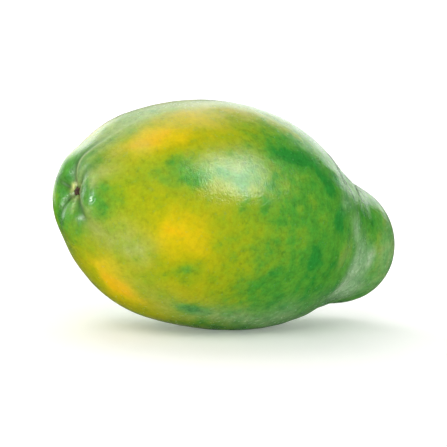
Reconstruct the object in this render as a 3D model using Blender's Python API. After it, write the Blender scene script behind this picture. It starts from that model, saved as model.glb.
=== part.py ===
"""A whole papaya, lying on its belly.

The fruit grew as one piece, so it is one solid. A sphere is reshaped by a rule: an egg for
the body, a knob for the stalk end, and low relief for the five lobes, the blossom pit and
the stalk scar. All sizes are in metres. In the fruit's own frame X runs along its middle
line from the blossom end to the stalk end, and Z is up.
"""
import math

import bmesh
import bpy
import numpy as np

NAME = "papaya"

# The turned shape, from the blossom end (0) to the stalk end (LENGTH)
LENGTH = 0.184
BODY_RADIUS = 0.0525
BODY_WIDEST_AT = 0.081
BODY_END_AT = 0.1625
KNOB_RADIUS = 0.0305
KNOB_WIDEST_AT = 0.152

# Powers of the curves: higher is blunter
FRONT_POWER = 2.3
FRONT_ROOT = 2.0
BACK_POWER = 2.1
BACK_ROOT = 1.48
KNOB_ROOT = 2.1
MELT_POWER = 5.0  # how softly the knob grows out of the body

# The middle line isn't quite straight
NECK_DROP = 0.004
NECK_ASIDE = 0.001
SAG = 0.0015
SAG_AT = 0.037
SAG_WIDTH = 0.022

# The blossom end: a blunt nose round a pit, parted into lobes by furrows
NOSE_RISE = 0.0032
NOSE_AT = 0.015
NOSE_WIDTH = 0.009
PIT_DEPTH = 0.0028
PIT_RADIUS = 0.006
FURROW_CLEAR = 0.003
CREASE_DEPTH = 0.0014
CREASE_TURN = math.radians(7.0)
CREASE_REACH = 0.022
VALLEY_DEPTH = 0.0010
VALLEY_TURN = math.radians(17.0)
VALLEY_REACH = 0.035
FURROWS = ((20.0, 0.5), (95.0, 1.1), (170.0, 0.6), (230.0, 1.2), (315.0, 0.7))  # degrees round, strength

# The stalk end: a shallow dish with the low stub of the stalk in it
DISH_DEPTH = 0.0030
DISH_RADIUS = 0.011
STUB_RISE = 0.0022
STUB_RADIUS = 0.0055

# How it lies, and the spot that it lies on
TILT = math.radians(7.0)
FLAT_DEPTH = 0.0012
CUTTER_SIZE = (0.12, 0.12, 0.02)

# The mesh
SIDES = 72
RINGS = 46
CROWDING = 0.35  # how much closer the rings stand at the two ends
NUDGE = 0.001  # step for a slope, radians
FINE_STEPS = 2000

SKIN_COLOUR = (0.28, 0.40, 0.04, 1.0)
SKIN_ROUGHNESS = 0.36


def bump(distance, width):
    """A soft hill: 1 at no distance, fading over the width."""
    return np.exp(-((distance / width) ** 2))


def ease(amount):
    """0 to 1 with a gentle start and end."""
    amount = np.clip(amount, 0.0, 1.0)
    return amount * amount * (3.0 - 2.0 * amount)


def skin_radius(along):
    """The radius of the turned shape: the body melted into the knob."""
    ahead = np.clip((BODY_WIDEST_AT - along) / BODY_WIDEST_AT, 0.0, 1.0)
    behind = np.clip((along - BODY_WIDEST_AT) / (BODY_END_AT - BODY_WIDEST_AT), 0.0, 1.0)
    front = BODY_RADIUS * (1.0 - ahead**FRONT_POWER) ** (1.0 / FRONT_ROOT)
    back = BODY_RADIUS * (1.0 - behind**BACK_POWER) ** (1.0 / BACK_ROOT)
    body = np.where(along < BODY_WIDEST_AT, front, back)
    from_knob = np.abs(along - KNOB_WIDEST_AT) / (LENGTH - KNOB_WIDEST_AT)
    knob = KNOB_RADIUS * np.clip(1.0 - from_knob**2, 0.0, 1.0) ** (1.0 / KNOB_ROOT)
    return (body**MELT_POWER + knob**MELT_POWER) ** (1.0 / MELT_POWER)


def meridian(polar):
    """Place along the fruit and radius there, for an angle from the blossom end (0) to the stalk (pi)."""
    polar = np.clip(polar, 0.0, math.pi)
    along = LENGTH * (1.0 - np.cos(polar)) / 2.0
    return along, skin_radius(along)


def furrows(angle, turn, strength_power=1.0):
    """How deep in a furrow an angle round the fruit lies."""
    depth = np.zeros_like(angle)
    for degrees, strength in FURROWS:
        gap = np.abs((angle - math.radians(degrees) + math.pi) % (2.0 * math.pi) - math.pi)
        depth += strength * np.exp(-((gap / turn) ** strength_power))
    return depth


def relief(along, radius, angle):
    """How far the skin stands proud of the turned shape."""
    from_tip = np.hypot(along, radius)
    from_stalk = np.hypot(LENGTH - along, radius)
    clear_of_pit = 1.0 - bump(from_tip, FURROW_CLEAR)
    crease = furrows(angle, CREASE_TURN) * bump(from_tip, CREASE_REACH)
    valley = furrows(angle, VALLEY_TURN, 2.0) * bump(from_tip, VALLEY_REACH)
    out = NOSE_RISE * bump(from_tip - NOSE_AT, NOSE_WIDTH) - PIT_DEPTH * bump(from_tip, PIT_RADIUS)
    out -= clear_of_pit * (CREASE_DEPTH * crease + VALLEY_DEPTH * valley)
    out -= DISH_DEPTH * bump(from_stalk, DISH_RADIUS)
    out += STUB_RISE * bump(from_stalk**2, STUB_RADIUS**2)
    return out


def skin_points(polar, angle):
    """Points on the fruit's skin, one a row, in its own frame."""
    along, radius = meridian(polar)
    along_before, radius_before = meridian(polar - NUDGE)
    along_after, radius_after = meridian(polar + NUDGE)
    run = along_after - along_before
    rise = radius_after - radius_before
    stretch = np.hypot(run, rise)
    out = relief(along, radius, angle)
    x = along - out * rise / stretch
    reach = np.maximum(radius + out * run / stretch, 0.0)
    toward_neck = ease((along - BODY_WIDEST_AT) / (LENGTH - BODY_WIDEST_AT))
    y = reach * np.cos(angle) - NECK_ASIDE * toward_neck
    z = reach * np.sin(angle) - NECK_DROP * toward_neck - SAG * bump(along - SAG_AT, SAG_WIDTH)
    return np.stack([x, y, z], axis=-1)


def resting_place():
    """Where the fruit's own frame goes, so that the middle of its flat spot is the origin."""
    belly = skin_points(np.linspace(0.0, math.pi, FINE_STEPS), np.full(FINE_STEPS, -math.pi / 2.0))
    x = belly[:, 0] * math.cos(TILT) + belly[:, 2] * math.sin(TILT)
    z = belly[:, 2] * math.cos(TILT) - belly[:, 0] * math.sin(TILT)
    floor = z.min() + FLAT_DEPTH
    flat = x[z < floor]
    y = belly[z.argmin(), 1]
    return (-(flat.min() + flat.max()) / 2.0, -y, -floor)


def skin_material():
    """Half-ripe green skin with a waxy shine."""
    material = bpy.data.materials.new("papaya_skin")
    material.use_nodes = True
    shader = material.node_tree.nodes["Principled BSDF"]
    shader.inputs["Base Color"].default_value = SKIN_COLOUR
    shader.inputs["Roughness"].default_value = SKIN_ROUGHNESS
    shader.inputs["Metallic"].default_value = 0.0
    material.diffuse_color = SKIN_COLOUR
    return material


def make_fruit(collection):
    """The whole fruit, reshaped from a sphere whose poles are the blossom end and the stalk end."""
    shape = bmesh.new()
    bmesh.ops.create_uvsphere(shape, u_segments=SIDES, v_segments=RINGS, radius=1.0)
    sphere = np.array([vertex.co[:] for vertex in shape.verts])
    share = np.arccos(np.clip(-sphere[:, 2], -1.0, 1.0)) / math.pi
    polar = math.pi * (share - CROWDING * np.sin(2.0 * math.pi * share) / (2.0 * math.pi))
    angle = np.arctan2(sphere[:, 1], sphere[:, 0])
    for vertex, point in zip(shape.verts, skin_points(polar, angle)):
        vertex.co = point
    mesh = bpy.data.meshes.new(NAME)
    shape.to_mesh(mesh)
    shape.free()
    mesh.shade_smooth()
    mesh.materials.append(skin_material())
    fruit = bpy.data.objects.new(NAME, mesh)
    fruit.rotation_euler = (0.0, TILT, 0.0)
    fruit.location = resting_place()
    collection.objects.link(fruit)
    return fruit


def make_floor_cutter(collection):
    """A block whose top is the resting plane."""
    shape = bmesh.new()
    bmesh.ops.create_cube(shape, size=1.0)
    bmesh.ops.scale(shape, vec=CUTTER_SIZE, verts=shape.verts)
    mesh = bpy.data.meshes.new("flat_spot_cutter")
    shape.to_mesh(mesh)
    shape.free()
    cutter = bpy.data.objects.new("flat_spot_cutter", mesh)
    cutter.location = (0.0, 0.0, -CUTTER_SIZE[2] / 2.0)
    cutter.hide_render = True
    cutter.display_type = "WIRE"
    collection.objects.link(cutter)
    return cutter


def make_collection(name):
    """A new collection in the scene."""
    collection = bpy.data.collections.new(name)
    bpy.context.scene.collection.children.link(collection)
    return collection


def main():
    for old in list(bpy.data.objects):
        bpy.data.objects.remove(old, do_unlink=True)
    fruit = make_fruit(make_collection(NAME))
    cutter = make_floor_cutter(make_collection("cutters"))
    flat_spot = fruit.modifiers.new("flat_spot", "BOOLEAN")
    flat_spot.operation = "DIFFERENCE"
    flat_spot.solver = "EXACT"
    flat_spot.object = cutter


main()
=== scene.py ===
"""A whole papaya, half ripe, lying on its belly on a pale studio floor.

The fruit is laid out as an add-on: sizes and colours are properties, each piece has its own
operator, and a panel in the 3D view's sidebar lists them. Run as a script it makes them all.
Lengths are in metres. The fruit's own frame has X along its middle line from the blossom end
to the stalk end, and Z up; settled() turns it to how the fruit lies.
"""
import math

import bmesh
import bpy
import numpy as np
from mathutils import Matrix, Vector, noise


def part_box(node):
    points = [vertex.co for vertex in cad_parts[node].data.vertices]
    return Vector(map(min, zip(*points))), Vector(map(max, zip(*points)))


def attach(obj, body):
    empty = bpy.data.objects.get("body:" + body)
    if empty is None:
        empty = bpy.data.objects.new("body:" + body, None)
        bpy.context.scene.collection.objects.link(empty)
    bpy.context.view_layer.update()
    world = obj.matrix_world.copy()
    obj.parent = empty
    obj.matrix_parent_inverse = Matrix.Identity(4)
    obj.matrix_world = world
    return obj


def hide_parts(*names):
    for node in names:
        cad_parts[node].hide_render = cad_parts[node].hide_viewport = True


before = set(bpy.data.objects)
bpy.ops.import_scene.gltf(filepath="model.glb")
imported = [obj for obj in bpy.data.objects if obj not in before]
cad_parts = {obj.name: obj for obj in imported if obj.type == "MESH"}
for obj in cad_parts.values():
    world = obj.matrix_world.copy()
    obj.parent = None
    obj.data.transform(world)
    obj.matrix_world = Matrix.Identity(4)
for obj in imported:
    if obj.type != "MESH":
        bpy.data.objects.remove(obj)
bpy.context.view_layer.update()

bl_info = {
    "name": "Papaya",
    "version": (1, 0, 0),
    "blender": (4, 5, 0),
    "location": "View3D > Sidebar > Papaya",
    "description": "Makes a half-ripe papaya with its scars, and a plain studio round it",
    "category": "Add Mesh",
}

FRUIT_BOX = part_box("papaya")
FRUIT_BOX_ROOM = 0.008  # how far the fruit's sides may stand from those of its solid's box
BODY = "root"

# Furrows that part the lobes of the blossom end: degrees round at the scar and further out,
# strength and reach of the sharp crease, and strength and reach of the soft valley round it
FURROWS = (
    (14.0, 24.0, 0.6, 0.014, 0.35, 0.030),
    (76.0, 103.0, 0.8, 0.022, 0.35, 0.050),
    (132.0, 134.0, 0.5, 0.014, 1.0, 0.022),
    (171.0, 168.0, 0.25, 0.012, 0.3, 0.024),
    (210.0, 222.0, 1.1, 0.013, 0.9, 0.028),
    (324.0, 290.0, 0.5, 0.014, 0.4, 0.030),
)
FURROW_BEND = 0.018  # how far from the scar a furrow has reached its second direction

# Thin folds beside some furrows, painted pale as their highlight: degrees round at the scar and further
# out, strength, reach
FOLDS = (
    (84.0, 107.0, 0.7, 0.044),
    (200.0, 213.0, 0.8, 0.014),
    (116.0, 121.0, 0.5, 0.022),
    (150.0, 152.0, 0.4, 0.018),
)

# Shallow flats of the nose: degrees round, distance from the tip, reach in degrees, reach along,
# and height
NOSE_FLATS = (
    (76.0, 0.020, 22.0, 0.010, -0.0012),
    (303.0, 0.015, 16.0, 0.006, -0.0009),
)

# How ripe the skin is in places: name, millimetres along, degrees round, the patch's reach in
# millimetres along and round, and how much riper, or greener where it is below nought
RIPE_PATCHES = (
    ("flank core", 28, 192, 9, 9, 0.30),
    ("flank core tail", 38, 198, 9, 7, 0.07),
    ("upper streak", 23, 129, 12, 7, 0.27),
    ("upper streak tip", 12, 133, 7, 5, 0.22),
    ("upper streak tail", 40, 122, 14, 7, 0.12),
    ("low cheek", 22, 251, 11, 7, 0.38),
    ("low cheek rim", 12, 247, 6, 6, 0.04),
    ("cheek", 18, 187, 6, 6, -0.06),
    ("green band", 28, 156, 12, 6, -0.22),
    ("green fleck", 21, 166, 4, 3, -0.14),
    ("green band tail", 46, 157, 15, 9, -0.14),
    ("flank streak", 48, 159.5, 9, 2.6, -0.18),
    ("flank fleck", 53, 174, 3.5, 4, -0.09),
    ("flank fleck behind", 66, 173, 3.5, 4, -0.10),
    ("green cheek", 6, 190, 4, 5, -0.11),
    # painted sheen: riper, paler skin where the lobe's top catches light
    ("lobe", 3, 152, 3, 6, 0.22),
    ("tip cheek", 4, 222, 4, 4, 0.16),
    ("bloom cheek", 15, 214, 8, 8, 0.03),
    ("dark shoulder", 83, 146, 15, 5, -0.30),
    ("dark shoulder tail", 101, 153, 8, 4, -0.12),
    ("dark neck", 111, 171, 5, 5, -0.20),
    ("neck glow", 122, 187, 5, 9, 0.16),
    ("knob glow", 160, 180, 16, 30, 0.14),
    ("dark spot", 97, 195, 5, 5, -0.28),
    ("belly blotch", 71, 209, 11, 6, -0.10),
    ("belly shade", 92, 222, 14, 8, -0.06),
    ("belly spot", 50, 236, 8, 4, -0.52),
    ("belly fleck", 37, 211, 4, 4, -0.20),
    ("neck fleck", 148, 156, 5, 5, -0.16),
    ("crown", 66, 116, 20, 9, 0.20),
    ("crown tail", 88, 125, 10, 5, 0.12),
    ("crest", 22, 92, 22, 14, -0.16),
    ("far cheek", 26, 40, 14, 16, 0.24),
    ("far streak", 50, 15, 20, 8, 0.12),
    ("far low", 34, 322, 12, 14, 0.22),
    ("far green", 40, 350, 12, 6, -0.22),
    ("far shoulder", 88, 30, 14, 10, -0.16),
    ("far belly", 70, 330, 12, 8, -0.12),
    ("far neck", 112, 350, 6, 8, -0.16),
    ("under", 40, 285, 14, 10, 0.06),
)

# How ripe it is all round: millimetres along, and how ripe it is there. Within the tip's reach it
# is as ripe as the tip
RIPE_TREND = ((0, 12, 45, 60, 75, 95, 115, 184), (0.50, 0.64, 0.65, 0.52, 0.42, 0.36, 0.31, 0.29))
TIP_RIPE = 0.34
TIP_REACH = 0.020

# Grey-green waxy bloom, partly painted sheen: rows like those of the ripe patches, with how strong it
# is
BLOOM_AND_SHEEN_PATCHES = (
    ("flank bloom", 15, 213, 7, 7, 0.75),
    ("belly bloom", 60, 240, 40, 9, 0.40),
    ("belly spot", 50, 236, 8, 4, -0.18),
    ("tip bloom", 5, 224, 5, 5, 0.50),
    # painted sheen: the streak and crown blooms pale the upper side, where light from above reflects
    ("streak bloom", 12, 133, 9, 5, 0.50),
    ("crown bloom", 62, 121, 14, 6, 0.48),
    ("far bloom", 60, 335, 26, 10, 0.40),
)

# Greyer haze, like the wax in the hollow of the neck, partly painted reflection: rows of the same kind
HAZE_AND_SHEEN_PATCHES = (
    # painted reflection: sheen on the lobe and the crest, and a pale wash that greys the flank's
    # highlight
    ("lobe", 2.5, 152, 3, 6, 0.30),
    ("crest", 46, 101, 42, 7, 0.42),
    ("flank wax", 50, 152, 12, 8, 0.26),
    ("belly", 85, 238, 34, 8, 0.34),
    ("belly end", 99, 226, 14, 9, 0.20),
    # painted reflection: the pale band where the neck's hollow catches light, and the knob's gloss
    ("hollow upper", 118, 158, 5, 6, 0.30),
    ("hollow", 129, 171, 4, 7, 0.40),
    ("hollow middle", 137, 187, 6, 9, 0.42),
    ("hollow lower", 140, 204, 8, 9, 0.44),
    ("hollow under", 140, 222, 18, 8, 0.54),
    ("knob middle", 148, 190, 5, 6, 0.58),
    ("knob", 165, 184, 9, 20, 0.32),
    ("hollow inner", 122, 188, 4, 8, 0.14),
    ("hollow far", 134, 340, 6, 14, 0.40),
    ("hollow back", 127, 18, 5, 9, 0.26),
    ("hollow top", 122, 70, 6, 16, 0.30),
    ("far belly", 80, 300, 30, 9, 0.34),
)

PER_METRE = 1000.0  # millimetres, in which the rows above are written

# The patches stray a little, so that no edge is a plain oval: how far, over what distance, and
# which places of the noise the two directions read
STRAY = 0.004
STRAY_SIZE = 0.014
STRAY_PLACES = (3.1, 8.3)
STRAY_LEAST_RADIUS = 0.01

# The pale rim of the blossom pit, strongest on one side, and the brown inside it
RIM_RADIUS = 0.0034
RIM_WIDTH = 0.0010
RIM_FACES = math.radians(35.0)
RIM_REACH = 0.65  # radians round
RIM_ALL_ROUND = 0.15
RIM_STRENGTH = 0.8
PIT_REACH = 0.0050

# Sizes of the noises that mottle the skin
CLOUD_SIZE = 0.012
BLOT_SIZE = 0.0055
SHADE_SIZE = 0.0025
DOT_SIZE = 0.0019
GRAIN_SIZE = 0.0012

# Ripeness of each colour of the skin
RIPE_STOPS = (
    (0.02, "deep"), (0.20, "green"), (0.38, "leaf"), (0.55, "olive"),
    (0.72, "lemon"), (0.88, "yellow"), (0.98, "gold"),
)

# How far clouds and blots move the ripeness: on all skin, and more on unripe skin. A move to riper
# is let through in part, and less of it on unripe skin
ALL_RIPE = 1.15  # ripeness at which nothing of the skin counts as unripe
CLOUD_DRIFT = 0.29
BLOT_DRIFT = 0.08
BLOT_DRIFT_UNRIPE = 0.48
RIPER_SHARE = 1.05
RIPER_LOSS_UNRIPE = 0.6

# Dark flecks, and smaller specks that gather in greener blots: where they start in their noise,
# how steeply they grow, and how strong they are
FLECK_START = 0.55
FLECK_STEEPNESS = 6.0
FLECK_STRENGTH = 0.38
SPECK_START = 0.58
SPECK_STEEPNESS = 8.0
SPECK_STRENGTH = 0.42
SPECK_GATHERING = 0.35

# How strongly the stored numbers act on the colour
BLOOM_AND_SHEEN_STRENGTH = 1.2
HAZE_AND_SHEEN_START = 0.15
# the valleys and furrows darken with the crease colour: brownish tint and painted shade
VALLEY_TINT_AND_SHADE = 0.25
FURROW_TINT_AND_SHADE = 2.6
# painted highlight: how pale the folds turn
FOLD_HIGHLIGHT_STRENGTH = 0.7
PIT_BASE = 0.4
PIT_FURROW = 0.6

# Light and dark of the grain and of the shades: on all skin, and more on unripe skin
GRAIN_CONTRAST = 0.12
GRAIN_CONTRAST_UNRIPE = 0.70
SHADE_CONTRAST = 0.25
SHADE_CONTRAST_UNRIPE = 1.1

# Roughness of clean skin, and what each thing adds to it
SKIN_ROUGHNESS = 0.155
GRAIN_ROUGHNESS = 0.05
BLOT_ROUGHNESS = 0.22
SPECK_ROUGHNESS = 0.12
BLOOM_AND_SHEEN_ROUGHNESS = 0.08
HAZE_AND_SHEEN_ROUGHNESS = 0.12
VALLEY_ROUGHNESS = 0.06
FURROW_ROUGHNESS = 0.30

# Fine unevenness of the skin: its height, and the shares of grain and shades in it
SKIN_BUMP = 0.00032
GRAIN_BUMP = 0.4
SHADE_BUMP = 0.3

# Dry scars: sizes of their noises, height of their unevenness, where their colours lie in the
# noise, how light the cork's darkest and lightest parts are, and roughness
CRUMB_SIZE = 0.0007
CRUMB_BUMP = 0.0003
CRUMB_STOPS = (0.35, 0.75)
FIBRE_SIZE = 0.0010
FIBRE_BUMP = 0.0004
FIBRE_STOPS = (0.30, 0.50, 0.75)
CORK_DARK = 0.35
CORK_LIGHT = 1.6
SCAR_ROUGHNESS = 0.65
SCAR_ROUGHNESS_SPREAD = 0.2

# The scars' meshes: sides round and rings, fineness and height of their crumples, and how deep in
# its pit the blossom scar sits, as a share of the pit's depth
DISC_SIDES = 60
DISC_RINGS = 24
CRUMPLE_FINENESS = 2.5
CRUMPLE_SHARE = 0.25
BLOSSOM_SINK = 0.9

# The points that the lamps aim at, and the one lamp that aims at the backdrop
FRUIT_AIM = (0.0, 0.0, 0.05)
BACKDROP_AIM = (1.1, 1.4, 0.1)
BACKDROP_LAMP = "backdrop_box"

# Soft boxes: name, direction from the fruit's aim (degrees round from -Y, and up) and distance,
# width, height, roll in degrees, power in watts, and whether the skin's colour is lit by it and
# its gloss shows it
LAMPS = (
    ("key_box", -50.0, 40.0, 1.16, 0.9, 0.7, 0.0, 4.6, True, False),
    ("key_window", 18.0, 38.6, 1.2, 0.76, 0.68, -20.0, 13.4, False, True),
    ("key_window_low", 15.0, 27.0, 1.2, 0.58, 0.12, 0.0, 4.4, False, True),
    ("key_window_high", 16.0, 45.5, 1.2, 0.42, 0.10, -14.0, 3.2, False, True),
    ("left_box", -112.0, 0.0, 1.1, 0.6, 0.5, 0.0, 1.7, True, False),
    ("left_window", -105.0, 1.0, 1.1, 0.26, 0.20, 0.0, 9.5, False, True),
    ("right_window", 122.0, 24.0, 1.2, 0.83, 0.65, 0.0, 3.3, False, True),
    ("top_box", 169.0, 64.0, 1.17, 1.0, 0.8, 0.0, 4.0, True, True),
    ("top_window", 168.0, 36.0, 1.2, 1.0, 0.7, 0.0, 3.0, False, True),
    ("back_window", 182.0, 12.0, 1.2, 1.0, 0.6, 0.0, 4.2, False, True),
    ("backdrop_box", 141.0, 53.0, 1.064, 1.2, 0.5, 0.0, 9.0, True, False),
)

# The floor's mesh: steps of its curved edge, sides all round, height of its wall in radii of the
# curve, and the distance under which points are one
SWEEP_STEPS = 24
FLOOR_SIDES = 96
WALL_HEIGHT = 3.0
JOIN_WITHIN = 0.0005

# The floor's finish
FLOOR_ROUGHNESS = 0.9
FLOOR_GLOSS = 0.1

# The even light fades to a share of its strength between two heights of its direction
SKY_FADE = (-0.35, 0.1)
SKY_BELOW = 0.3

SENSOR_WIDTH = 36.0  # millimetres
MIX_SOCKETS = (0, 6, 7)  # of a colour's mix node: the share, and the colours below and above
MIX_RESULT = 2  # its colour output
PLAIN_PROPERTIES = ("rna_type", "name")  # what every property group has besides its own


def tone(code):
    """A colour named as six hex digits, in the linear numbers that the shaders use."""
    parts = [int(code[i:i + 2], 16) / 255.0 for i in (0, 2, 4)]
    return tuple(c / 12.92 if c <= 0.04045 else ((c + 0.055) / 1.055) ** 2.4 for c in parts)


def length(label, default, about):
    """A size in metres that a user can change."""
    return bpy.props.FloatProperty(
        name=label, description=about, default=default, subtype="DISTANCE", unit="LENGTH"
    )


def point(label, default, about):
    """A place that a user can change."""
    return bpy.props.FloatVectorProperty(
        name=label, description=about, default=default, subtype="XYZ", unit="LENGTH"
    )


def turn(label, degrees, about):
    """An angle that a user can change."""
    return bpy.props.FloatProperty(
        name=label, description=about, default=math.radians(degrees), subtype="ANGLE"
    )


def amount(label, default, about):
    """A plain number that a user can change."""
    return bpy.props.FloatProperty(name=label, description=about, default=default)


def colour(label, code, about):
    """A colour that a user can change."""
    return bpy.props.FloatVectorProperty(
        name=label, description=about, default=tone(code), subtype="COLOR", size=3, min=0.0, max=1.0
    )


class PapayaShape(bpy.types.PropertyGroup):
    """Sizes of the fruit. Those of its large forms are its solid's."""

    length: length("Length", 0.184, "From the blossom end to the stalk end")
    body_radius: length("Body radius", 0.0525, "Radius where the body is widest")
    body_widest_at: length("Body widest at", 0.081, "Place of the widest part, from the blossom end")
    body_end_at: length("Body ends at", 0.1625, "Where the egg of the body would close")
    knob_radius: length("Neck radius", 0.0305, "Radius of the knob of the neck")
    knob_widest_at: length("Neck widest at", 0.152, "Place of the knob's widest part")
    front_power: amount("Front power", 2.3, "Bluntness of the blossom half")
    front_root: amount("Front root", 2.0, "Fullness of the blossom half")
    back_power: amount("Back power", 2.1, "Bluntness of the shoulder")
    back_root: amount("Back root", 1.48, "Fullness of the shoulder")
    knob_root: amount("Neck root", 2.1, "Fullness of the knob")
    melt_power: amount("Melt power", 5.0, "How softly the knob grows out of the body")
    neck_drop: length("Neck drop", 0.004, "How far the neck hangs below the middle line")
    neck_aside: length("Neck aside", 0.001, "How far the neck leans to one side")
    sag: length("Sag", 0.0015, "How far the front of the body sags")
    sag_at: length("Sag at", 0.037, "Place of the sag")
    sag_width: length("Sag width", 0.022, "Reach of the sag")
    nose_rise: length("Nose rise", 0.0032, "Height of the blunt ring round the blossom pit")
    nose_at: length("Nose at", 0.015, "Distance of that ring from the tip")
    nose_width: length("Nose width", 0.009, "Softness of that ring")
    pit_depth: length("Pit depth", 0.0028, "Depth of the blossom pit")
    pit_radius: length("Pit radius", 0.006, "Reach of the blossom pit")
    furrow_clear: length("Furrow start", 0.003, "Where the furrows begin")
    crease_depth: length("Crease depth", 0.0015, "Depth of the sharp crease in a furrow")
    crease_turn: turn("Crease width", 9.0, "Angle over which a crease fades")
    crease_blunt: turn("Crease bottom", 4.0, "Roundness of a crease's bottom")
    valley_depth: length("Valley depth", 0.0010, "Depth of the soft valley round a crease")
    valley_turn: turn("Valley width", 17.0, "Angle over which a valley fades")
    dish_depth: length("Dish depth", 0.0030, "Depth of the dish round the stalk scar")
    dish_radius: length("Dish radius", 0.011, "Reach of that dish")
    stub_rise: length("Stub rise", 0.0022, "Height of the stalk's stub in its dish")
    stub_radius: length("Stub radius", 0.0055, "Radius of the stub")
    fold: length("Fold height", 0.0004, "Height of the thin folds beside the furrows")
    fold_width: length("Fold width", 0.0013, "Width of those folds")
    tilt: turn("Tilt", 7.0, "How far the neck end lies down")
    rests_at: point(
        "Rests at", (-0.0890386, 0.0000637, 0.0618292),
        "Where the middle line's blossom end goes, so that the fruit lies on the floor",
    )
    swell: length("Swell", 0.00035, "Height of the long soft swells of the skin")
    swell_size: length("Swell size", 0.022, "Size of those swells")
    lump: length("Neck lumps", 0.0012, "Height of the lumps round the neck")
    lump_size: length("Lump size", 0.012, "Size of those lumps")
    neck_from: length("Lumps at", 0.132, "Place of the neck's lumps, from the blossom end")
    neck_reach: length("Lumps reach", 0.026, "How far along the fruit the lumps go")
    dimple: length("Dimples", 0.00009, "Height of the small unevenness of the skin")
    dimple_size: length("Dimple size", 0.0065, "Size of that unevenness")
    sides: bpy.props.IntProperty(name="Sides", description="Faces round the fruit", default=384)
    rings: bpy.props.IntProperty(name="Rings", description="Faces along the fruit", default=250)
    crowding: amount("Crowding", 0.35, "How much closer the rings stand at the two ends")


class PapayaColours(bpy.types.PropertyGroup):
    """Colours of the skin and of the scars."""

    deep: colour("Deep green", "28842e", "Unripe skin in its darkest blotches")
    green: colour("Green", "2e8a2e", "Unripe skin")
    leaf: colour("Leaf green", "569c2c", "Skin that starts to turn")
    olive: colour("Olive", "8ea814", "Skin half way to yellow")
    lemon: colour("Lemon", "b2b004", "Nearly ripe skin")
    yellow: colour("Yellow", "d4bc00", "Ripe skin")
    gold: colour("Gold", "e6b800", "The ripest skin")
    # Bloom is also painted sheen where the upper side catches light from above
    bloom_and_sheen: colour("Bloom", "a9bd70", "Grey-green wax on the skin")
    # Haze is also painted reflection: the neck's hollow, the knob, the crest, the lobe and under the
    # highlight
    haze_and_sheen: colour("Haze", "b8d0b0", "Grey wax in the hollow of the neck")
    # Crease is the furrows' brownish tint and also painted shade, darkening the creases and valleys
    crease: colour("Crease", "34661a", "Brownish green in the furrows")
    pit: colour("Pit", "4e4a14", "Brown of the furrows close to the scar")
    # the folds' pale colour is a painted highlight along their ridges
    fold: colour("Fold", "b4cc78", "Pale green of the thin folds")
    rim: colour("Pit rim", "d8dc8a", "Pale rim of the blossom pit")
    scar: colour("Blossom scar", "341405", "Dry remains of the flower")
    cork: colour("Stalk scar", "8a6a3c", "Corky face of the stalk")


class PapayaStudio(bpy.types.PropertyGroup):
    """The floor, the light and the camera."""

    floor_radius: length("Floor radius", 1.3, "Flat part of the floor")
    sweep_radius: length("Sweep radius", 0.7, "Round of the floor's raised edge")
    floor_colour: colour("Floor", "f4f4f2", "Plain pale floor")
    sky: amount("Sky", 0.36, "Strength of the even light from all round")
    glow: amount("Floor glow", 0.2, "Light that the floor and its sweep give, as a light table does")
    azimuth: turn("Azimuth", -38.25, "Direction that the camera looks in, from +Y")
    elevation: turn("Elevation", 3.75, "Height of the camera's view")
    roll: turn("Roll", -3.65, "Turn of the picture")
    distance: length("Distance", 0.575, "From the camera to its aim")
    aim: point("Aim", (-0.0081, -0.0014, 0.0487), "The point in the middle of the picture")
    lens: bpy.props.FloatProperty(name="Lens", description="Focal length, millimetres", default=100.0)


class Rule:
    """A number in a node tree that can be added, multiplied and so on, as a formula is written."""

    def __init__(self, tree, socket):
        self.tree = tree
        self.socket = socket

    def math(self, operation, *others, first=None):
        """This number, or another one in its place, worked on with the others."""
        node = self.tree.nodes.new("ShaderNodeMath")
        node.operation = operation
        for slot, value in zip(node.inputs, (self if first is None else first, *others)):
            if isinstance(value, Rule):
                self.tree.links.new(value.socket, slot)
            else:
                slot.default_value = value
        return Rule(self.tree, node.outputs[0])

    def __add__(self, other):
        return self.math("ADD", other)

    def __sub__(self, other):
        return self.math("SUBTRACT", other)

    def __rsub__(self, other):
        return self.math("SUBTRACT", self, first=other)

    def __mul__(self, other):
        return self.math("MULTIPLY", other)

    def __truediv__(self, other):
        return self.math("DIVIDE", other)

    def __rtruediv__(self, other):
        return self.math("DIVIDE", self, first=other)

    def __pow__(self, other):
        return self.math("POWER", other)

    def clamp(self):
        """Held between 0 and 1."""
        held = self.math("MAXIMUM", 0.0)
        return held.math("MINIMUM", 1.0)

    def ease(self):
        """0 to 1 with a gentle start and end."""
        held = self.clamp()
        return held * held * (3.0 - held * 2.0)

    def bump(self, width):
        """A soft hill: 1 at nothing, fading over the width."""
        share = self / width
        return (share * share * -1.0).math("EXPONENT")

    def hypot(self, other):
        """The long side of the right triangle that the two numbers span."""
        return (self * self + other * other).math("SQRT")


def new_tree(name, group):
    """A Geometry Nodes tree with a named input for each size in a property group."""
    tree = bpy.data.node_groups.new(name, "GeometryNodeTree")
    tree.interface.new_socket("Geometry", in_out="OUTPUT", socket_type="NodeSocketGeometry")
    names = []
    for prop in group.bl_rna.properties:
        if prop.identifier in PLAIN_PROPERTIES or getattr(prop, "is_array", False):
            continue
        kind = "NodeSocketInt" if prop.type == "INT" else "NodeSocketFloat"
        tree.interface.new_socket(prop.name, in_out="INPUT", socket_type=kind)
        names.append(prop.identifier)
    source = tree.nodes.new("NodeGroupInput")
    sizes = {key: Rule(tree, source.outputs[i]) for i, key in enumerate(names)}
    return tree, sizes


def place_of(tree):
    """The position's three numbers."""
    position = tree.nodes.new("GeometryNodeInputPosition")
    split = tree.nodes.new("ShaderNodeSeparateXYZ")
    tree.links.new(position.outputs[0], split.inputs[0])
    return [Rule(tree, socket) for socket in split.outputs]


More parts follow.
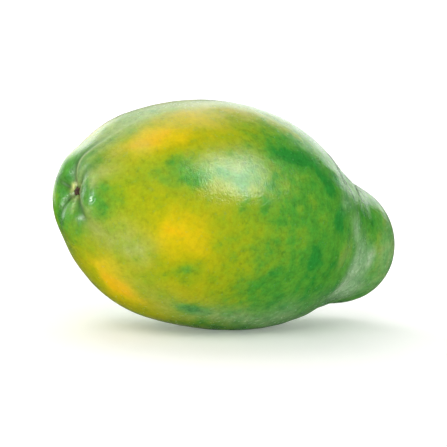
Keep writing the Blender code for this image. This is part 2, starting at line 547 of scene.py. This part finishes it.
def moved(tree, geometry, x, y, z):
    """The geometry with its points set to three rules."""
    join = tree.nodes.new("ShaderNodeCombineXYZ")
    for rule, slot in zip((x, y, z), join.inputs):
        tree.links.new(rule.socket, slot)
    put = tree.nodes.new("GeometryNodeSetPosition")
    tree.links.new(geometry, put.inputs["Geometry"])
    tree.links.new(join.outputs[0], put.inputs["Position"])
    return put.outputs[0]


def kept(tree, geometry, name, rule):
    """The geometry with a rule's value stored on its points."""
    store = tree.nodes.new("GeometryNodeStoreNamedAttribute")
    store.data_type = "FLOAT"
    store.domain = "POINT"
    store.inputs["Name"].default_value = name
    tree.links.new(geometry, store.inputs["Geometry"])
    tree.links.new(rule.socket, store.inputs["Value"])
    return store.outputs[0]


def turned_radius(along, size):
    """The radius of the turned shape: the body melted into the knob of the neck."""
    ahead = ((size["body_widest_at"] - along) / size["body_widest_at"]).clamp()
    behind = ((along - size["body_widest_at"]) / (size["body_end_at"] - size["body_widest_at"])).clamp()
    front = (1.0 - ahead ** size["front_power"]) ** (1.0 / size["front_root"])
    back = (1.0 - behind ** size["back_power"]) ** (1.0 / size["back_root"])
    body = size["body_radius"] * front.math("MINIMUM", back)
    from_knob = (along - size["knob_widest_at"]) / (size["length"] - size["knob_widest_at"])
    round_knob = (1.0 - from_knob * from_knob).math("MAXIMUM", 0.0)
    knob = size["knob_radius"] * round_knob ** (1.0 / size["knob_root"])
    power = size["melt_power"]
    return (body ** power + knob ** power) ** (1.0 / power)


def furrows(angle, from_tip, size):
    """How deep in a sharp crease and in a soft valley a place on the fruit lies."""
    crease = angle * 0.0
    valley = angle * 0.0
    share = (from_tip / FURROW_BEND).clamp()
    for near, far, crease_strength, crease_reach, valley_strength, valley_reach in FURROWS:
        centre = share * math.radians(far - near) + math.radians(near)
        gap = (angle - centre).math("WRAP", math.pi, -math.pi)
        blunt = gap.hypot(size["crease_blunt"])
        sharp = (blunt / size["crease_turn"] * -1.0).math("EXPONENT")
        crease = crease + sharp * from_tip.bump(crease_reach) * crease_strength
        valley = valley + gap.bump(size["valley_turn"]) * from_tip.bump(valley_reach) * valley_strength
    return crease, valley


def folds(angle, from_tip, radius, size):
    """How high on a thin fold a place on the fruit lies."""
    total = angle * 0.0
    share = (from_tip / FURROW_BEND).clamp()
    for near, far, strength, reach in FOLDS:
        centre = share * math.radians(far - near) + math.radians(near)
        gap = (angle - centre).math("WRAP", math.pi, -math.pi) * radius
        total = total + gap.bump(size["fold_width"]) * from_tip.bump(reach) * strength
    return total


def ripple(tree, size, detail):
    """A soft noise from -1 to 1 whose features are about this size."""
    node = tree.nodes.new("ShaderNodeTexNoise")
    node.inputs["Detail"].default_value = detail
    tree.links.new((1.0 / size).socket, node.inputs["Scale"])
    return (Rule(tree, node.outputs[0]) - 0.5) * 2.0


def turned_shape(tree, size):
    """A ball drawn out into the plain turned shape, with its poles at the fruit's two ends."""
    ball = tree.nodes.new("GeometryNodeMeshUVSphere")
    ball.inputs["Radius"].default_value = 1.0
    tree.links.new(size["sides"].socket, ball.inputs["Segments"])
    tree.links.new(size["rings"].socket, ball.inputs["Rings"])
    x, y, z = place_of(tree)
    share = (z * -1.0).math("ARCCOSINE") / math.pi
    wave = (share * math.tau).math("SINE") * size["crowding"] / math.tau
    polar = (share - wave) * math.pi
    along = size["length"] * (1.0 - polar.math("COSINE")) / 2.0
    radius = turned_radius(along, size)
    angle = y.math("ARCTAN2", x)
    across = radius * angle.math("COSINE")
    up = radius * angle.math("SINE")
    return moved(tree, ball.outputs[0], along, across, up)


def pressed(tree, size, geometry):
    """The shape with its relief, and with the places and the relief's parts stored on its points."""
    x, y, z = place_of(tree)
    angle = z.math("ARCTAN2", y)
    geometry = kept(tree, geometry, "along", x)
    geometry = kept(tree, geometry, "round", angle)
    radius = y.hypot(z)
    from_tip = x.hypot(radius)
    from_stalk = (size["length"] - x).hypot(radius)

    # The blossom end: nose, pit, furrows, flats and folds
    crease, valley = furrows(angle, from_tip, size)
    clear = 1.0 - from_tip.bump(size["furrow_clear"])
    out = size["nose_rise"] * (from_tip - size["nose_at"]).bump(size["nose_width"])
    out = out - size["pit_depth"] * from_tip.bump(size["pit_radius"])
    out = out - clear * (size["crease_depth"] * crease + size["valley_depth"] * valley)
    for degrees, distance, turn_reach, reach, height in NOSE_FLATS:
        gap = (angle - math.radians(degrees)).math("WRAP", math.pi, -math.pi)
        out = out + gap.bump(math.radians(turn_reach)) * (from_tip - distance).bump(reach) * height
    fold = clear * folds(angle, from_tip, radius, size)
    out = out + size["fold"] * fold

    # The dish and stub of the stalk end, and the unevenness of the skin
    out = out - size["dish_depth"] * from_stalk.bump(size["dish_radius"])
    stub = (from_stalk * from_stalk).bump(size["stub_radius"] * size["stub_radius"])
    out = out + size["stub_rise"] * stub
    out = out + size["swell"] * ripple(tree, size["swell_size"], detail=1.0)
    out = out + size["dimple"] * ripple(tree, size["dimple_size"], detail=1.0)
    near_neck = (x - size["neck_from"]).bump(size["neck_reach"])
    out = out + size["lump"] * near_neck * ripple(tree, size["lump_size"], detail=1.5)

    geometry = kept(tree, geometry, "furrow", crease * clear)
    geometry = kept(tree, geometry, "valley", valley * clear)
    geometry = kept(tree, geometry, "fold", fold)
    normal = tree.nodes.new("GeometryNodeInputNormal")
    push = tree.nodes.new("ShaderNodeVectorMath")
    push.operation = "SCALE"
    tree.links.new(normal.outputs[0], push.inputs[0])
    tree.links.new(out.socket, push.inputs["Scale"])
    lift = tree.nodes.new("GeometryNodeSetPosition")
    tree.links.new(geometry, lift.inputs["Geometry"])
    tree.links.new(push.outputs[0], lift.inputs["Offset"])
    return lift.outputs[0]


def bent(tree, size, geometry):
    """The shape with its middle line bent as the fruit grew."""
    x, y, z = place_of(tree)
    toward_neck = ((x - size["body_widest_at"]) / (size["length"] - size["body_widest_at"])).ease()
    y = y - size["neck_aside"] * toward_neck
    z = z - size["neck_drop"] * toward_neck - size["sag"] * (x - size["sag_at"]).bump(size["sag_width"])
    return moved(tree, geometry, x, y, z)


def fruit_tree(shape, material):
    """The rule of the fruit's shape, as a tree."""
    tree, size = new_tree("papaya_shape", shape)
    geometry = turned_shape(tree, size)
    geometry = pressed(tree, size, geometry)
    geometry = bent(tree, size, geometry)
    finish = tree.nodes.new("GeometryNodeSetMaterial")
    finish.inputs["Material"].default_value = material
    real = tree.nodes.new("GeometryNodeRealizeInstances")
    smooth = tree.nodes.new("GeometryNodeSetShadeSmooth")
    target = tree.nodes.new("NodeGroupOutput")
    tree.links.new(geometry, real.inputs[0])
    tree.links.new(real.outputs[0], smooth.inputs[0])
    tree.links.new(smooth.outputs[0], finish.inputs["Geometry"])
    tree.links.new(finish.outputs[0], target.inputs[0])
    return tree


def placed(name, data):
    """A new object of a mesh, lamp or camera, in the scene."""
    item = bpy.data.objects.new(name, data)
    bpy.context.scene.collection.objects.link(item)
    return item


def smooth_object(name, shape, material):
    """The object made of a bmesh, smooth and in one material."""
    bmesh.ops.recalc_face_normals(shape, faces=shape.faces)
    mesh = bpy.data.meshes.new(name)
    shape.to_mesh(mesh)
    shape.free()
    mesh.shade_smooth()
    mesh.materials.append(material)
    return placed(name, mesh)


def grown(name, tree, group):
    """The plain mesh object that a tree makes with a group's sizes."""
    seed = placed(name + "_seed", bpy.data.meshes.new(name + "_seed"))
    modifier = seed.modifiers.new("rule", "NODES")
    modifier.node_group = tree
    inputs = [item for item in tree.interface.items_tree if item.in_out == "INPUT"]
    sockets = {item.name: item.identifier for item in inputs}
    for prop in group.bl_rna.properties:
        if prop.name in sockets:
            modifier[sockets[prop.name]] = getattr(group, prop.identifier)
    graph = bpy.context.evaluated_depsgraph_get()
    mesh = bpy.data.meshes.new_from_object(seed.evaluated_get(graph))
    if not mesh.polygons:
        raise RuntimeError("The tree of " + name + " made no faces")
    mesh.name = name
    seed.modifiers.remove(modifier)
    bpy.data.objects.remove(seed, do_unlink=True)
    return placed(name, mesh)


def settled(shape):
    """Turns the fruit's own frame to how it lies, with its flat spot's middle at the origin."""
    return Matrix.Translation(shape.rests_at) @ Matrix.Rotation(shape.tilt, 4, "Y")


def numbers(mesh, name):
    """One of the mesh's stored numbers, for all points."""
    values = np.empty(len(mesh.vertices), dtype=np.float32)
    mesh.attributes[name].data.foreach_get("value", values)
    return values.astype(float)


def write_numbers(mesh, name, values):
    """Stores a number on each point of the mesh."""
    attribute = mesh.attributes.new(name, "FLOAT", "POINT")
    attribute.data.foreach_set("value", values.astype(np.float32))


def gap_round(angle, centre):
    """How far round each angle is from a centre, either way."""
    return np.abs((angle - centre + math.pi) % math.tau - math.pi)


def patchwork(patches, along, angle, across):
    """The sum of soft patches at places on the fruit."""
    total = np.zeros_like(along)
    for _, at, degrees, reach_along, reach_round, strength in patches:
        off_along = along * PER_METRE - at
        off_round = gap_round(angle, math.radians(degrees)) * across * PER_METRE
        fade = (off_along / reach_along) ** 2 + (off_round / reach_round) ** 2
        total += strength * np.exp(-fade)
    return total


def wander(points, size, place):
    """A soft noise from -1 to 1 on each point, read from a place of the noise."""
    offset = Vector((place, place * 0.7, -place))
    return np.array([noise.noise(Vector(p) / size + offset) for p in points])


def positions(mesh):
    """The places of all points of the mesh, one row for each."""
    places = np.empty(len(mesh.vertices) * 3, dtype=np.float32)
    mesh.vertices.foreach_get("co", places)
    return places.reshape(-1, 3)


def paint(mesh):
    """Stores how ripe the skin is, where it has bloom and haze, both partly painted sheen, and the
    pit's rim and brown.
    """
    points = positions(mesh).astype(float)
    along = numbers(mesh, "along")
    angle = numbers(mesh, "round")
    across = np.hypot(points[:, 1], points[:, 2])
    from_tip = np.hypot(along, across)
    shift_along, shift_round = (STRAY * wander(points, STRAY_SIZE, place) for place in STRAY_PLACES)
    where = (along + shift_along, angle + shift_round / np.maximum(across, STRAY_LEAST_RADIUS), across)

    tip = np.exp(-((from_tip / TIP_REACH) ** 4))
    ripe = np.interp(where[0] * PER_METRE, *RIPE_TREND) * (1.0 - tip) + TIP_RIPE * tip
    write_numbers(mesh, "ripe", ripe + patchwork(RIPE_PATCHES, *where))
    write_numbers(mesh, "bloom_and_sheen", patchwork(BLOOM_AND_SHEEN_PATCHES, *where))
    write_numbers(mesh, "haze_and_sheen", patchwork(HAZE_AND_SHEEN_PATCHES, *where))

    ring = np.exp(-(((from_tip - RIM_RADIUS) / RIM_WIDTH) ** 2))
    facing = np.exp(-((gap_round(angle, RIM_FACES) / RIM_REACH) ** 2))
    rim = ring * (RIM_ALL_ROUND + RIM_STRENGTH * facing)
    write_numbers(mesh, "rim", rim)
    write_numbers(mesh, "pit", np.exp(-((from_tip / PIT_REACH) ** 4)) * (1.0 - rim))


def check_fit(points):
    """Stops the run when the fruit's points don't fill the box of its solid, or leave it."""
    corners = np.array([points.min(0), points.max(0)])
    if np.abs(corners - np.array(FRUIT_BOX)).max() > FRUIT_BOX_ROOM:
        raise RuntimeError("The fruit doesn't match the box of its solid")


class Shader:
    """A material's node tree, with short ways to add what the finishes here use."""

    def __init__(self, name):
        self.material = bpy.data.materials.new(name)
        self.material.use_nodes = True
        self.tree = self.material.node_tree
        self.surface = self.tree.nodes["Principled BSDF"]
        self.place = self.tree.nodes.new("ShaderNodeTexCoord").outputs["Object"]

    def mottle(self, size, detail, roughness=0.5):
        """A noise from 0 to 1 whose features are about this size in metres."""
        node = self.tree.nodes.new("ShaderNodeTexNoise")
        node.inputs["Scale"].default_value = 1.0 / size
        node.inputs["Detail"].default_value = detail
        node.inputs["Roughness"].default_value = roughness
        self.tree.links.new(self.place, node.inputs["Vector"])
        return Rule(self.tree, node.outputs[0])

    def stored(self, name):
        """A number that is stored on the piece's points."""
        node = self.tree.nodes.new("ShaderNodeAttribute")
        node.attribute_name = name
        return Rule(self.tree, node.outputs["Fac"])

    def ramp(self, rule, stops):
        """The colour that a rule's value picks from a row of colours."""
        node = self.tree.nodes.new("ShaderNodeValToRGB")
        node.color_ramp.interpolation = "LINEAR"
        elements = node.color_ramp.elements
        while len(elements) < len(stops):
            elements.new(0.5)  # it gets its own place below
        for element, (position, shade) in zip(elements, stops):
            element.position = position
            element.color = (*shade, 1.0)
        self.tree.links.new(rule.socket, node.inputs[0])
        return node.outputs[0]

    def cover(self, shade, share, over):
        """A colour with a share of another one laid over it."""
        node = self.tree.nodes.new("ShaderNodeMix")
        node.data_type = "RGBA"
        how_much, below, above = (node.inputs[i] for i in MIX_SOCKETS)
        self.tree.links.new(share.socket, how_much)
        self.tree.links.new(shade, below)
        above.default_value = (*over, 1.0)
        return node.outputs[MIX_RESULT]

    def scaled(self, shade, rule):
        """A colour made lighter or darker by a rule."""
        node = self.tree.nodes.new("ShaderNodeVectorMath")
        node.operation = "SCALE"
        self.tree.links.new(shade, node.inputs[0])
        self.tree.links.new(rule.socket, node.inputs["Scale"])
        return node.outputs[0]

    def finish(self, base, roughness, height, bump_distance, **fixed):
        """Links the surface up, sets what stays fixed on it, and gives the material."""
        self.tree.links.new(base, self.surface.inputs["Base Color"])
        self.tree.links.new(roughness.socket, self.surface.inputs["Roughness"])
        bump = self.tree.nodes.new("ShaderNodeBump")
        bump.inputs["Distance"].default_value = bump_distance
        self.tree.links.new(height.socket, bump.inputs["Height"])
        self.tree.links.new(bump.outputs[0], self.surface.inputs["Normal"])
        for key, value in fixed.items():
            self.surface.inputs[key.replace("_", " ")].default_value = value
        return self.material


def skin_material(tint):
    """Mottled waxy skin, from deep green to gold by how ripe it is."""
    shader = Shader("papaya_skin")
    clouds = shader.mottle(CLOUD_SIZE, detail=2.0)
    blots = shader.mottle(BLOT_SIZE, detail=2.0)
    shades = shader.mottle(SHADE_SIZE, detail=4.0, roughness=0.7)
    grain = shader.mottle(GRAIN_SIZE, detail=2.0, roughness=0.8)
    dots = shader.mottle(DOT_SIZE, detail=2.0, roughness=0.6)

    painted = shader.stored("ripe")
    unripe = (ALL_RIPE - painted).clamp()
    drift = (clouds - 0.5) * CLOUD_DRIFT + (blots - 0.5) * (unripe * BLOT_DRIFT_UNRIPE + BLOT_DRIFT)
    greener = drift.math("MINIMUM", 0.0)
    riper = drift.math("MAXIMUM", 0.0) * (RIPER_SHARE - unripe * RIPER_LOSS_UNRIPE)
    stops = [(position, getattr(tint, name)) for position, name in RIPE_STOPS]
    base = shader.ramp(painted + greener + riper, stops)

    flecks = ((shades - FLECK_START) * FLECK_STEEPNESS).clamp() * unripe
    gathered = dots - (blots - 0.5) * SPECK_GATHERING
    specks = ((gathered - SPECK_START) * SPECK_STEEPNESS).clamp()
    base = shader.cover(base, flecks * FLECK_STRENGTH, tint.deep)
    base = shader.cover(base, specks * unripe * SPECK_STRENGTH, tint.deep)

    bloom_and_sheen = shader.stored("bloom_and_sheen")
    haze_and_sheen = shader.stored("haze_and_sheen")
    valley = shader.stored("valley")
    furrow = (shader.stored("furrow") * FURROW_TINT_AND_SHADE).clamp()
    # Bloom and haze: wax, and painted sheen where light catches the top, the neck's hollow and the
    # highlight
    base = shader.cover(base, (bloom_and_sheen * (blots * BLOOM_AND_SHEEN_STRENGTH)).clamp(), tint.bloom_and_sheen)
    base = shader.cover(base, (haze_and_sheen * (clouds + blots - HAZE_AND_SHEEN_START)).clamp(), tint.haze_and_sheen)
    # painted shade with the furrows' brownish tint: valleys and creases darkened
    base = shader.cover(base, (valley * VALLEY_TINT_AND_SHADE).clamp(), tint.crease)
    base = shader.cover(base, furrow, tint.crease)
    # painted highlight along the thin folds
    base = shader.cover(base, (shader.stored("fold") * FOLD_HIGHLIGHT_STRENGTH).clamp(), tint.fold)
    base = shader.cover(base, (furrow * PIT_FURROW + PIT_BASE) * shader.stored("pit"), tint.pit)
    base = shader.cover(base, shader.stored("rim"), tint.rim)

    grain_light = (grain - 0.5) * (unripe * GRAIN_CONTRAST_UNRIPE + GRAIN_CONTRAST)
    shade_light = (shades - 0.5) * (unripe * SHADE_CONTRAST_UNRIPE + SHADE_CONTRAST)
    base = shader.scaled(base, grain_light + shade_light + 1.0)

    roughness = grain * GRAIN_ROUGHNESS + (blots - 0.5) * BLOT_ROUGHNESS + specks * SPECK_ROUGHNESS
    roughness = roughness + bloom_and_sheen * BLOOM_AND_SHEEN_ROUGHNESS + haze_and_sheen * HAZE_AND_SHEEN_ROUGHNESS
    roughness = roughness + valley * VALLEY_ROUGHNESS + furrow * FURROW_ROUGHNESS + SKIN_ROUGHNESS
    height = grain * GRAIN_BUMP + shades * SHADE_BUMP
    return shader.finish(
        base, roughness, height, SKIN_BUMP,
        Specular_IOR_Level=0.25, Sheen_Weight=0.20, Sheen_Roughness=0.2,
    )


def scar_material(tint):
    """Dry, dark, crumbling remains of the flower."""
    shader = Shader("papaya_blossom_scar")
    crumbs = shader.mottle(CRUMB_SIZE, detail=4.0)
    light = tuple((a + b) / 2.0 for a, b in zip(tint.scar, tint.cork))
    base = shader.ramp(crumbs, tuple(zip(CRUMB_STOPS, (tint.scar, light))))
    return shader.finish(base, crumbs * SCAR_ROUGHNESS_SPREAD + SCAR_ROUGHNESS, crumbs, CRUMB_BUMP)


def cork_material(tint):
    """The corky face where the stalk parted."""
    shader = Shader("papaya_stalk_scar")
    fibres = shader.mottle(FIBRE_SIZE, detail=5.0, roughness=0.7)
    dark = tuple(CORK_DARK * part for part in tint.cork)
    light = tuple(min(1.0, CORK_LIGHT * part) for part in tint.cork)
    base = shader.ramp(fibres, tuple(zip(FIBRE_STOPS, (dark, tint.cork, light))))
    return shader.finish(base, fibres * SCAR_ROUGHNESS_SPREAD + SCAR_ROUGHNESS, fibres, FIBRE_BUMP)


def scar_disc(name, material, *, radius, thick, rough, points, sharpness, place):
    """A small crumpled disc about the fruit's X axis, with a rim of soft points."""
    shape = bmesh.new()
    bmesh.ops.create_uvsphere(shape, u_segments=DISC_SIDES, v_segments=DISC_RINGS, radius=1.0)
    for vertex in shape.verts:
        a, b, c = vertex.co
        star = 1.0 + sharpness * math.cos(points * math.atan2(b, a))
        crumple = noise.noise(Vector((a, b, c)) * CRUMPLE_FINENESS + Vector((place, 0.0, 0.0)))
        reach = radius * star * (1.0 + CRUMPLE_SHARE * crumple)
        vertex.co = (c * thick + rough * crumple, reach * a, reach * b)
    return smooth_object(name, shape, material)


class PAPAYA_OT_fruit(bpy.types.Operator):
    """Makes the fruit's skin from its rule and paints how ripe it is"""

    bl_idname = "papaya.fruit"
    bl_label = "Fruit"

    def execute(self, context):
        shape = context.scene.papaya_shape
        material = skin_material(context.scene.papaya_colours)
        fruit = grown("papaya_fruit", fruit_tree(shape, material), shape)
        paint(fruit.data)
        fruit.data.transform(settled(shape))
        points = positions(fruit.data)
        points[:, 2] = np.maximum(points[:, 2], 0.0)  # flat where it rests on the floor
        check_fit(points)
        fruit.data.vertices.foreach_set("co", points.ravel())
        fruit.data.update()
        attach(fruit, BODY)
        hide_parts("papaya")
        return {"FINISHED"}


class PAPAYA_OT_scars(bpy.types.Operator):
    """Makes the dry scar of the blossom and the corky scar of the stalk"""

    bl_idname = "papaya.scars"
    bl_label = "Scars"

    def execute(self, context):
        shape = context.scene.papaya_shape
        tint = context.scene.papaya_colours
        blossom = scar_disc(
            "blossom_scar", scar_material(tint),
            radius=0.0018, thick=0.0013, rough=0.0005, points=5, sharpness=0.14, place=2.0,
        )
        stalk = scar_disc(
            "stalk_scar", cork_material(tint),
            radius=0.0052, thick=0.0008, rough=0.0004, points=7, sharpness=0.03, place=5.0,
        )
        pit_bottom = (shape.pit_depth * BLOSSOM_SINK, 0.0, 0.0)
        stub_top = shape.length - shape.dish_depth + shape.stub_rise
        stalk_end = (stub_top, -shape.neck_aside, -shape.neck_drop)
        for piece, place in ((blossom, pit_bottom), (stalk, stalk_end)):
            piece.data.transform(settled(shape) @ Matrix.Translation(place))
            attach(piece, BODY)
        return {"FINISHED"}


def direction(turned, raised):
    """The direction that is turned this far from -Y and raised this far, in radians."""
    level = math.cos(raised)
    return Vector((math.sin(turned) * level, -math.cos(turned) * level, math.sin(raised)))


def area_light(name, turned, raised, distance, width, height, roll, power, on_skin, in_gloss):
    """A soft box that shines on the fruit's middle, or on the backdrop."""
    aim = Vector(BACKDROP_AIM if name == BACKDROP_LAMP else FRUIT_AIM)
    place = Vector(FRUIT_AIM) + distance * direction(math.radians(turned), math.radians(raised))
    data = bpy.data.lights.new(name, "AREA")
    data.shape = "RECTANGLE"
    data.size = width
    data.size_y = height
    data.energy = power
    lamp = placed(name, data)
    lamp.location = place
    facing = (aim - place).to_track_quat("-Z", "Y").to_matrix()
    lamp.rotation_euler = (facing @ Matrix.Rotation(math.radians(roll), 3, "Z")).to_euler()
    lamp.visible_camera = False
    lamp.visible_diffuse = on_skin
    lamp.visible_glossy = in_gloss


def floor_material(studio):
    """Plain pale floor that gives a little light of its own."""
    material = bpy.data.materials.new("studio_floor")
    material.use_nodes = True
    surface = material.node_tree.nodes["Principled BSDF"]
    surface.inputs["Base Color"].default_value = (*studio.floor_colour, 1.0)
    surface.inputs["Roughness"].default_value = FLOOR_ROUGHNESS
    surface.inputs["Specular IOR Level"].default_value = FLOOR_GLOSS
    surface.inputs["Emission Color"].default_value = (1.0, 1.0, 1.0, 1.0)
    surface.inputs["Emission Strength"].default_value = studio.glow
    return material


def sweep_floor(studio):
    """A round floor whose edge curves up all round, so that no horizon shows."""
    shape = bmesh.new()
    flat, curve = studio.floor_radius, studio.sweep_radius
    profile = [(0.0, 0.0), (flat, 0.0)]
    for step in range(1, SWEEP_STEPS + 1):
        a = math.radians(90.0) * step / SWEEP_STEPS
        profile.append((flat + curve * math.sin(a), curve * (1.0 - math.cos(a))))
    profile.append((profile[-1][0], curve * WALL_HEIGHT))
    verts = [shape.verts.new((r, 0.0, z)) for r, z in profile]
    edges = [shape.edges.new(pair) for pair in zip(verts, verts[1:])]
    bmesh.ops.spin(
        shape, geom=verts + edges, cent=(0, 0, 0), axis=(0, 0, 1),
        angle=math.tau, steps=FLOOR_SIDES, use_merge=True,
    )
    bmesh.ops.remove_doubles(shape, verts=shape.verts, dist=JOIN_WITHIN)
    return smooth_object("floor", shape, floor_material(studio))


def even_light(scene, studio):
    """Lights the scene white from all round, weaker from below, which the gloss doesn't show."""
    world = bpy.data.worlds.new("studio_light")
    scene.world = world
    world.use_nodes = True
    nodes, links = world.node_tree.nodes, world.node_tree.links
    sky = nodes["Background"]
    sky.inputs["Color"].default_value = (1.0, 1.0, 1.0, 1.0)
    split = nodes.new("ShaderNodeSeparateXYZ")
    links.new(nodes.new("ShaderNodeTexCoord").outputs["Generated"], split.inputs[0])
    fade = nodes.new("ShaderNodeMapRange")
    fade.inputs["From Min"].default_value = SKY_FADE[0]
    fade.inputs["From Max"].default_value = SKY_FADE[1]
    fade.inputs["To Min"].default_value = SKY_BELOW * studio.sky
    fade.inputs["To Max"].default_value = studio.sky
    links.new(split.outputs["Z"], fade.inputs["Value"])
    links.new(fade.outputs["Result"], sky.inputs["Strength"])
    world.cycles_visibility.glossy = False


def studio_camera(studio):
    """The camera, at the photo's angle, with the picture rolled a little."""
    data = bpy.data.cameras.new("camera")
    data.lens = studio.lens
    data.sensor_width = SENSOR_WIDTH
    camera = placed("camera", data)
    back = direction(studio.azimuth, studio.elevation)
    level = Vector((math.cos(studio.azimuth), math.sin(studio.azimuth), 0.0))
    upright = back.cross(level)
    lean, hold = math.sin(studio.roll), math.cos(studio.roll)
    right = level * hold - upright * lean
    up = level * lean + upright * hold
    turned = Matrix((right, up, back)).transposed().to_4x4()
    camera.matrix_world = Matrix.Translation(Vector(studio.aim) + back * studio.distance) @ turned
    return camera


class PAPAYA_OT_studio(bpy.types.Operator):
    """Makes the pale floor, the soft light and the camera"""

    bl_idname = "papaya.studio"
    bl_label = "Studio"

    def execute(self, context):
        scene = context.scene
        studio = scene.papaya_studio
        floor = sweep_floor(studio)
        floor.visible_glossy = False
        even_light(scene, studio)
        for lamp in LAMPS:
            area_light(*lamp)
        scene.camera = studio_camera(studio)
        scene.view_settings.view_transform = "Standard"
        return {"FINISHED"}


class PAPAYA_PT_panel(bpy.types.Panel):
    """Lists the pieces and their sizes and colours"""

    bl_idname = "PAPAYA_PT_panel"
    bl_label = "Papaya"
    bl_space_type = "VIEW_3D"
    bl_region_type = "UI"
    bl_category = "Papaya"

    def draw(self, context):
        for operator, group in PANEL_ROWS:
            box = self.layout.box()
            box.operator(operator)
            settings = getattr(context.scene, group)
            for prop in settings.bl_rna.properties:
                if prop.identifier not in PLAIN_PROPERTIES:
                    box.prop(settings, prop.identifier)


GROUPS = {"papaya_shape": PapayaShape, "papaya_colours": PapayaColours, "papaya_studio": PapayaStudio}
PANEL_ROWS = (
    ("papaya.fruit", "papaya_shape"),
    ("papaya.scars", "papaya_colours"),
    ("papaya.studio", "papaya_studio"),
)
CLASSES = (*GROUPS.values(), PAPAYA_OT_fruit, PAPAYA_OT_scars, PAPAYA_OT_studio, PAPAYA_PT_panel)


def register():
    """Adds the classes, and each property group to the scene."""
    for item in CLASSES:
        bpy.utils.register_class(item)
    for name, group in GROUPS.items():
        setattr(bpy.types.Scene, name, bpy.props.PointerProperty(type=group))


def unregister():
    """Takes them away again."""
    for name in GROUPS:
        delattr(bpy.types.Scene, name)
    for item in reversed(CLASSES):
        bpy.utils.unregister_class(item)


def main():
    """Makes all pieces and the studio."""
    register()
    bpy.ops.papaya.fruit()
    bpy.ops.papaya.scars()
    bpy.ops.papaya.studio()


if __name__ == "__main__":
    main()
